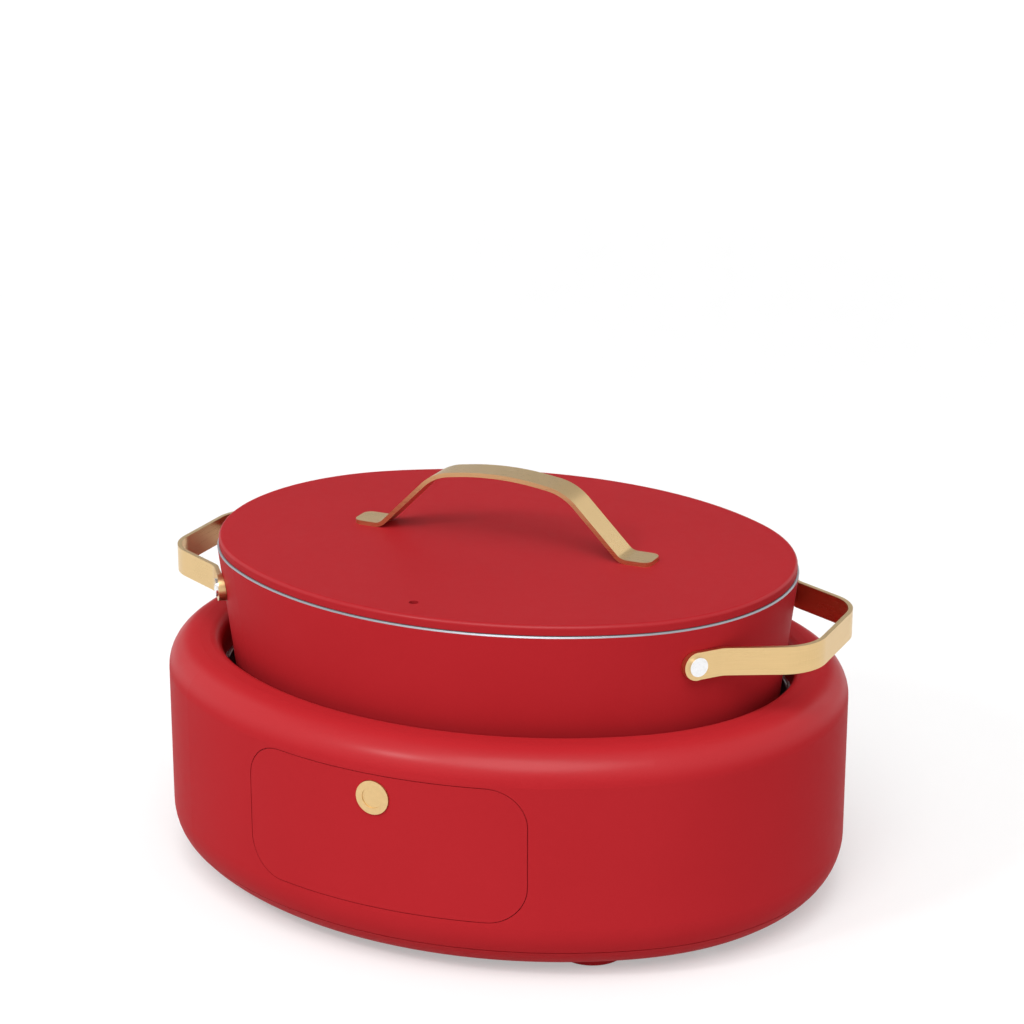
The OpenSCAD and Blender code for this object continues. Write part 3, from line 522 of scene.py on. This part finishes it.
@dataclass
class Palette:
    """All finishes of the cooker, made once."""

    brass_pale: Colour = (0.745, 0.530, 0.262)
    brass_shade: Colour = (0.675, 0.472, 0.227)
    brass_roughness: float = 0.30
    steel_pale: Colour = (0.80, 0.81, 0.83)
    steel_shade: Colour = (0.62, 0.63, 0.65)

    def __post_init__(self) -> None:
        """Make the materials."""
        self.make_coats()
        self.make_brass()
        self.make_steel()
        self.make_inner()

    def make_coats(self) -> None:
        """Make the red coats, the lid's darkened as painted shade, and the non-stick coats."""
        red = SatinRed("satin_red")
        lens = SatinRed("panel_lens_red", (0.462, 0.0205, 0.0265), (0.446, 0.0190, 0.0245), 0.42)
        # The lid's red is the body's red written darker, as painted shade that offsets the stronger
        # light on the lid's level top.
        lid = SatinRed("lid_red", (0.420, 0.0195, 0.0255), (0.402, 0.0178, 0.0232))
        self.red = red.make()
        self.lens = lens.make()
        self.pot = CoatedPot("coated_pot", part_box("pot_body")[1].z, red).make()
        self.lid = CoatedLid("coated_lid", lid).make()

    def make_brass(self) -> None:
        """Make the brass of the straps and the badge."""
        tones = (self.brass_pale, self.brass_shade)
        strap = (*tones, self.brass_roughness)
        self.brass_level = BrushedMetal("brass_level_grain", *strap, Grain.LEVEL).make()
        self.brass_long = BrushedMetal("brass_long_grain", *strap, Grain.ALONG_X).make()
        self.badge = BrushedMetal("brass_badge", *tones, 0.44, Grain.ALL_ROUND).make()

    def make_steel(self) -> None:
        """Make the bare steel of the rack, the rivets, the well, the screws and the shield."""
        bright = ((0.95, 0.953, 0.960), (0.86, 0.863, 0.872))
        polished = ((0.88, 0.88, 0.89), (0.78, 0.78, 0.79))
        brushed = ((0.82, 0.83, 0.84), (0.64, 0.65, 0.67))
        plain = (self.steel_pale, self.steel_shade)
        self.rack = BrushedMetal("bright_steel", *bright, 0.19, Grain.ALL_ROUND, 0.05).make()
        self.chrome = BrushedMetal("polished_rivet", *polished, 0.12, Grain.ALL_ROUND, 0.02).make()
        self.liner = BrushedMetal("brushed_liner", *brushed, 0.30, Grain.LEVEL, 0.10).make()
        self.plated = BrushedMetal("plated_screw", *plain, 0.30, Grain.ALL_ROUND, 0.08).make()
        self.sheet = BrushedMetal("shield_sheet", *plain, 0.26, Grain.ALONG_X, 0.06).make()

    def make_inner(self) -> None:
        """Make the finishes of the heater, the rubber and the boards."""
        face = ((0.130, 0.132, 0.135), (0.170, 0.173, 0.177))
        oxide = ((0.10, 0.085, 0.075), (0.19, 0.17, 0.15))
        sleeve = ((0.58, 0.54, 0.42), (0.68, 0.64, 0.52))
        self.plate = CastMetal("heater_plate_face", *face, 0.42, 0.35).make()
        self.tube = CastMetal("oxidised_tube", *oxide, 0.5).make()
        self.sleeve = CastMetal("fuse_sleeve", *sleeve, 0.55, 0.0).make()
        self.lip = DullRubber("lid_lip_rubber").make()
        self.rubber = DullRubber("dark_rubber").make()
        self.board = BoardLacquer("board_lacquer").make()


@dataclass
class SubAssembly:
    """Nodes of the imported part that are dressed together."""

    palette: Palette

    def finishes(self) -> dict[str, bpy.types.Material]:
        """Return the finish of each node."""
        raise NotImplementedError

    def dress(self) -> None:
        """Give every node its finish and report it."""
        for name, material in self.finishes().items():
            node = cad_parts[name]
            if not node.material_slots:
                node.data.materials.append(material)
            for slot in node.material_slots:
                slot.material = material
            LOG.info("%s: %s in %s", type(self).__name__, name, material.name)


class Base(SubAssembly):
    """The heated base with its well, panel, feet and electric pieces."""

    def finishes(self) -> dict[str, bpy.types.Material]:
        """Return the finish of each node."""
        p = self.palette
        return {
            "base_shell": p.red, "bottom_cover": p.red, "foot_pads": p.rubber, "cover_screws": p.plated,
            "control_panel": p.lens, "panel_badge": p.badge, "touch_board": p.board,
            "well_liner": p.liner, "well_floor": p.liner,
            "heater_plate": p.plate, "heating_element": p.tube, "heat_shield": p.sheet,
            "temperature_sensor": p.plated, "thermal_fuse": p.sleeve,
            "power_board": p.board, "board_screws": p.plated, "cord_gland": p.rubber,
        }


class Pot(SubAssembly):
    """The lift-out pot with its riveted straps."""

    def finishes(self) -> dict[str, bpy.types.Material]:
        """Return the finish of each node."""
        p = self.palette
        return {
            "pot_body": p.pot, "pot_rivets": p.chrome,
            "pot_handle_left": p.brass_level, "pot_handle_right": p.brass_level,
        }


class Rack(SubAssembly):
    """The steam rack with its clips and folding legs, all of one steel."""

    def finishes(self) -> dict[str, bpy.types.Material]:
        """Return the finish of each node."""
        legs = [f"rack_leg_{end}_{side}" for end in ("front", "back") for side in ("right", "left")]
        return {name: self.palette.rack for name in ("rack_plate", "leg_clips", *legs)}


class Lid(SubAssembly):
    """The lid with its lip and its screwed strap."""

    def finishes(self) -> dict[str, bpy.types.Material]:
        """Return the finish of each node."""
        p = self.palette
        return {
            "lid_plate": p.lid, "lid_lip": p.lip,
            "lid_handle": p.brass_long, "lid_handle_screws": p.plated,
        }


class Cooker:
    """The four sub-assemblies of the cooker."""

    def __init__(self, palette: Palette) -> None:
        """Give each sub-assembly the finishes to choose from."""
        self.parts = [kind(palette) for kind in (Base, Pot, Rack, Lid)]

    def dress(self) -> None:
        """Dress every sub-assembly."""
        for part in self.parts:
            part.dress()


class LampKind(Enum):
    """Blender's kinds of lamp that are used here."""

    SUN = "SUN"
    AREA = "AREA"


@dataclass(frozen=True)
class Lamp:
    """A soft lamp, whose direction is made up of shares of up, right and towards the camera.

    The size is a sun's angle in degrees or an area lamp's side in metres.
    """

    name: str
    kind: LampKind
    up: float
    right: float
    back: float
    strength: float
    size: float
    reach: float = 3.0
    aim_z: float = 0.15

    def hang(self, right: Vector, back: Vector) -> None:
        """Add the lamp to the scene.

        Args:
            right: The camera's direction to the right.
            back: The direction from the part to the camera.
        """
        data = bpy.data.lights.new(self.name, self.kind.value)
        data.energy = self.strength
        if self.kind is LampKind.SUN:
            data.angle = math.radians(self.size)
        else:
            data.size = self.size
        way = UP * self.up + right * self.right + back * self.back
        holder = bpy.data.objects.new(self.name, data)
        holder.location = UP * self.aim_z + self.reach * way.normalized()
        holder.rotation_euler = (-way).to_track_quat("-Z", "Y").to_euler()
        bpy.context.scene.collection.objects.link(holder)


LAMPS = (
    Lamp("key", LampKind.SUN, up=0.8, right=-0.14, back=0.80, strength=1.6, size=40.0),
    Lamp("top", LampKind.SUN, up=1.0, right=0.0, back=0.15, strength=0.45, size=30.0),
    Lamp("rear", LampKind.SUN, up=0.6, right=0.2, back=-0.9, strength=0.5, size=60.0),
    Lamp("glint", LampKind.AREA, up=0.7, right=-0.9, back=0.8, strength=5.0, size=0.20, reach=1.7),
)


@dataclass
class Studio:
    """Pale floor, soft light and the camera of the photograph."""

    azimuth: float = 25.2
    elevation: float = 18.1
    aim_z: float = 0.1976
    distance: float = 1.5
    focal_px: float = 2820.0
    image_px: float = 1024.0
    shift_px: float = 7.8
    sensor_mm: float = 36.0
    view_end: float = 100.0
    floor_size: float = 40.0
    floor_tone: float = 0.62
    floor_glow: float = 0.385
    soft_light: float = 0.60
    seen_light: float = 1.0
    ceiling_size: float = 2.2
    ceiling_z: float = 1.7
    ceiling_shift: float = 0.6
    ceiling_tone: float = 0.50
    wall_size: float = 3.2
    wall_z: float = 1.61
    wall_distance: float = 1.7
    wall_tone: float = 0.64

    def back(self) -> Vector:
        """Return the direction from the part to the camera."""
        a, e = math.radians(self.azimuth), math.radians(self.elevation)
        return Vector((math.sin(a) * math.cos(e), -math.cos(a) * math.cos(e), math.sin(e)))

    def right(self) -> Vector:
        """Return the camera's level direction to the right."""
        a = math.radians(self.azimuth)
        return Vector((math.cos(a), math.sin(a), 0.0))

    def camera(self) -> None:
        """Set the camera."""
        data = bpy.data.cameras.new("photo_camera")
        data.sensor_width = self.sensor_mm
        data.lens = self.focal_px / self.image_px * data.sensor_width
        data.shift_x = self.shift_px / self.image_px
        data.clip_end = self.view_end
        holder = bpy.data.objects.new("photo_camera", data)
        holder.location = UP * self.aim_z + self.distance * self.back()
        holder.rotation_euler = (-self.back()).to_track_quat("-Z", "Y").to_euler()
        bpy.context.scene.collection.objects.link(holder)
        bpy.context.scene.camera = holder

    def seen(self, graph: Graph) -> Signal:
        """Return 1 for rays that show the background: seen straight, mirrored or through glass."""
        straight = graph.node("ShaderNodeLightPath", output="Is Camera Ray")
        mirrored = straight.beside("Is Glossy Ray")
        through = straight.beside("Is Transmission Ray")
        return straight.most(mirrored).most(through)

    def square(self, name: str, size: float, material: bpy.types.Material) -> bpy.types.Object:
        """Make a level square around the origin.

        Args:
            name: Name of the square.
            size: Side in metres.
            material: Material of the square.

        Returns:
            The new object.
        """
        half = size / 2
        corners = [(-half, -half, 0), (half, -half, 0), (half, half, 0), (-half, half, 0)]
        mesh = bpy.data.meshes.new(name)
        mesh.from_pydata(corners, [], [(0, 1, 2, 3)])
        mesh.materials.append(material)
        made = bpy.data.objects.new(name, mesh)
        bpy.context.scene.collection.objects.link(made)
        return made

    def floor(self) -> None:
        """Lay a pale floor that keeps the soft shadow."""
        tone = self.floor_tone
        material, graph = new_material("pale_floor")
        cloth = graph.node("ShaderNodeBsdfDiffuse", None, {"Color": (tone, tone, tone)})
        glow = self.seen(graph) * self.floor_glow
        white = graph.node("ShaderNodeEmission", None, {"Color": WHITE, "Strength": glow})
        shown = graph.node("ShaderNodeAddShader", None, {0: cloth, 1: white})
        graph.finish("ShaderNodeOutputMaterial", shown)
        floor = self.square("floor", self.floor_size, material)

    def world(self) -> None:
        """Surround the part with an even pale light that is white where it is seen."""
        world = bpy.data.worlds.new("studio")
        bpy.context.scene.world = world
        world.use_nodes = True
        graph = Graph(world.node_tree)
        soft = graph.node("ShaderNodeBackground", None, {"Color": WHITE, "Strength": self.soft_light})
        white = graph.node("ShaderNodeBackground", None, {"Color": WHITE, "Strength": self.seen_light})
        shown = graph.node("ShaderNodeMixShader", None, {0: self.seen(graph), 1: soft, 2: white})
        graph.finish("ShaderNodeOutputWorld", shown)

    def lights(self) -> None:
        """Light the part softly from the upper left."""
        for lamp in LAMPS:
            lamp.hang(self.right(), self.back())

    def card(self, name: str, place: Vector, facing: Vector, size: float, tone: float) -> None:
        """Hang a grey card that the camera doesn't see and that casts no shadow.

        Args:
            name: Name of the card.
            place: Middle of the card.
            facing: Direction that the card faces.
            size: Side of the card in metres.
            tone: Grey of the card.
        """
        material, graph = new_material(name)
        cloth = graph.node("ShaderNodeBsdfDiffuse", None, {"Color": (tone, tone, tone)})
        graph.finish("ShaderNodeOutputMaterial", cloth)
        card = self.square(name, size, material)
        card.location = place
        card.rotation_euler = facing.to_track_quat("Z", "Y").to_euler()
        card.visible_camera = False
        card.visible_shadow = False

    def cards(self) -> None:
        """Hang grey cards above and behind the part, which give its metal a gradient."""
        back = self.back()
        level = Vector((back.x, back.y, 0.0)).normalized()
        above = UP * self.ceiling_z - self.ceiling_shift * back
        behind = UP * self.wall_z - self.wall_distance * level
        self.card("ceiling", above, DOWN, self.ceiling_size, self.ceiling_tone)
        self.card("far_wall", behind, level, self.wall_size, self.wall_tone)

    def build(self) -> None:
        """Make the whole stage."""
        bpy.context.scene.view_settings.view_transform = "Standard"
        self.camera()
        self.floor()
        self.world()
        self.lights()
        self.cards()


def main() -> None:
    """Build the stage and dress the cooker."""
    logging.basicConfig(level=logging.INFO, format="%(name)s %(message)s")
    Studio().build()
    Cooker(Palette()).dress()


if __name__ == "__main__":
    main()
